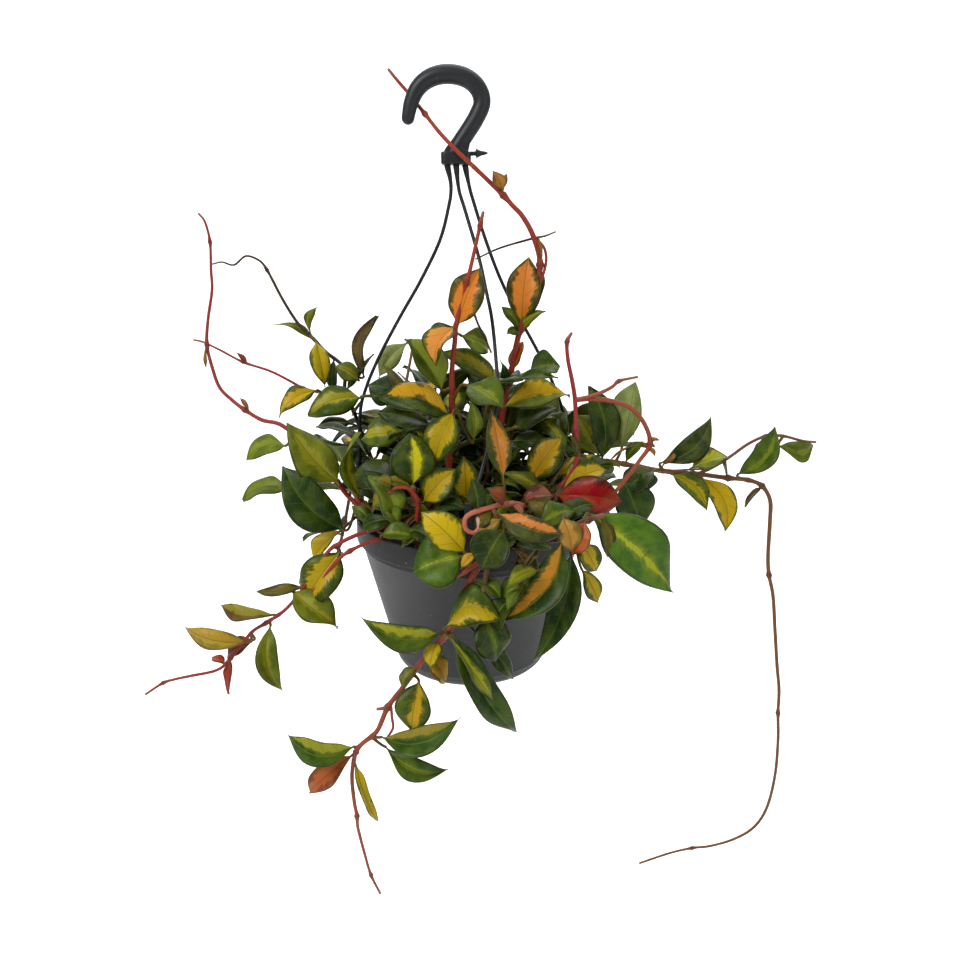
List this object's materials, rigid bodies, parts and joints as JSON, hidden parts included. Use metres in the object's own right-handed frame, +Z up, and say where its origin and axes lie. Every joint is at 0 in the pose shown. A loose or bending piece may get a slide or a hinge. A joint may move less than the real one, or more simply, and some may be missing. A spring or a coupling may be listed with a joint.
{
  "type": "potted hoya plant",
  "caption": "Trailing hoya with waxy variegated leaves and bare red vines, in a tapered grey plastic pot that hangs by three strands from a moulded hook.",
  "frame": {"origin": "the inside of the hook's crown, where the part hangs on a rod", "axes": "+Z up along the hanging line; +Y away from the viewer of the front; +X to the right seen from the front, across the hook's opening"},
  "size_m": [0.4844, 0.2933, 0.6125],
  "materials": {
    "pot": "dark grey moulded plastic, slightly satin",
    "soil": null,
    "hanger": "near-black moulded plastic",
    "hoya_tall_left": null,
    "hoya_upper_left": null,
    "hoya_lower_left": null,
    "hoya_front": null,
    "hoya_left_crown": null,
    "hoya_right_crown": null,
    "hoya_middle_right": null,
    "hoya_front_right": null,
    "hoya_right": null,
    "hoya_back_left": null,
    "hoya_back_middle": null,
    "hoya_back_right": null
  },
  "bodies": {
    "root": {"pot": "pot", "soil": "soil", "hanger_hook": "hanger", "hanger_strand_left": "hanger", "hanger_strand_front": "hanger", "hanger_strand_right": "hanger", "hoya_tall_left": "hoya_tall_left", "hoya_upper_left": "hoya_upper_left", "hoya_lower_left": "hoya_lower_left", "hoya_front": "hoya_front", "hoya_left_crown": "hoya_left_crown", "hoya_right_crown": "hoya_right_crown", "hoya_middle_right": "hoya_middle_right", "hoya_front_right": "hoya_front_right", "hoya_right": "hoya_right", "hoya_back_left": "hoya_back_left", "hoya_back_middle": "hoya_back_middle", "hoya_back_right": "hoya_back_right"}
  },
  "joints": []
}
